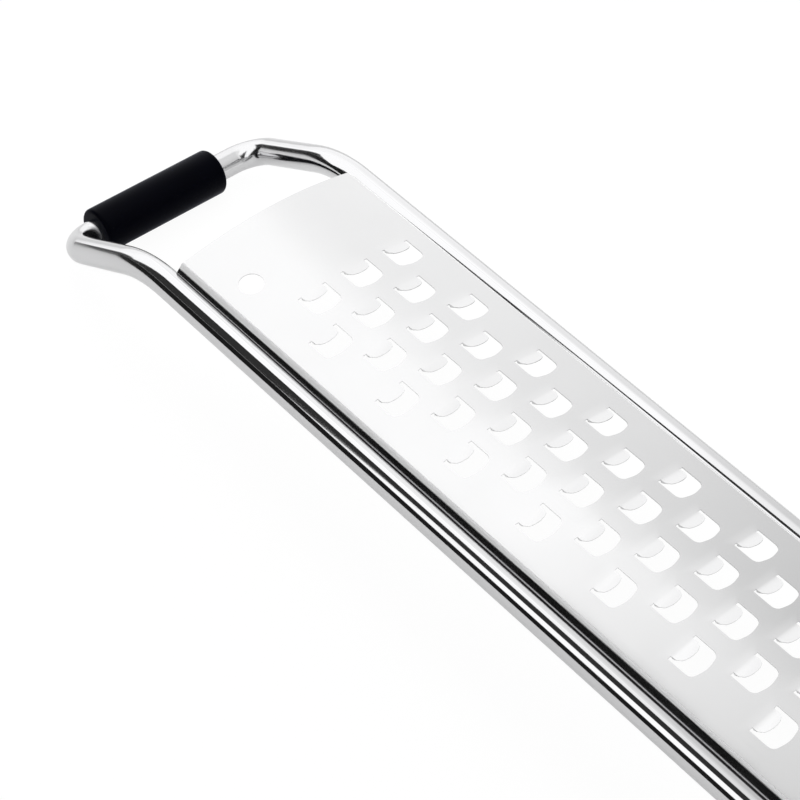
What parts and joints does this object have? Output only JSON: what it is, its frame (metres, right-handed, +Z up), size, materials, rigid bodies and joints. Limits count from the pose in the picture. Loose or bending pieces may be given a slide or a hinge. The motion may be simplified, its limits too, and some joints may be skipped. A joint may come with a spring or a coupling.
{
  "type": "hand grater",
  "caption": "Long hand grater: bent steel rod frame with an arched toothed plate between its rails, a rubber foot on the dipped tip and a soft black handle.",
  "frame": {"origin": "middle of the footprint, on the surface that the grater lies on", "axes": "+X along the rails from the tip to the handle, +Y across the plate, +Z up out of the toothed face"},
  "size_m": [0.4104, 0.0568, 0.0278],
  "materials": {
    "polished_rod": "mirror polished stainless steel rod",
    "satin_sheet": "satin stainless steel sheet",
    "foot_rubber": "matt black rubber",
    "grip_rubber": "soft matt black grip",
    "core_plastic": "fine grained black plastic"
  },
  "bodies": {
    "root": {"frame_rod": "polished_rod", "foot_sleeve": "foot_rubber", "grater_plate": "satin_sheet", "handle_core": "core_plastic", "tang_pin_front": "satin_sheet", "tang_pin_rear": "satin_sheet", "handle_ferrule": "satin_sheet", "handle_grip": "grip_rubber", "handle_end_cap": "core_plastic"}
  },
  "joints": []
}
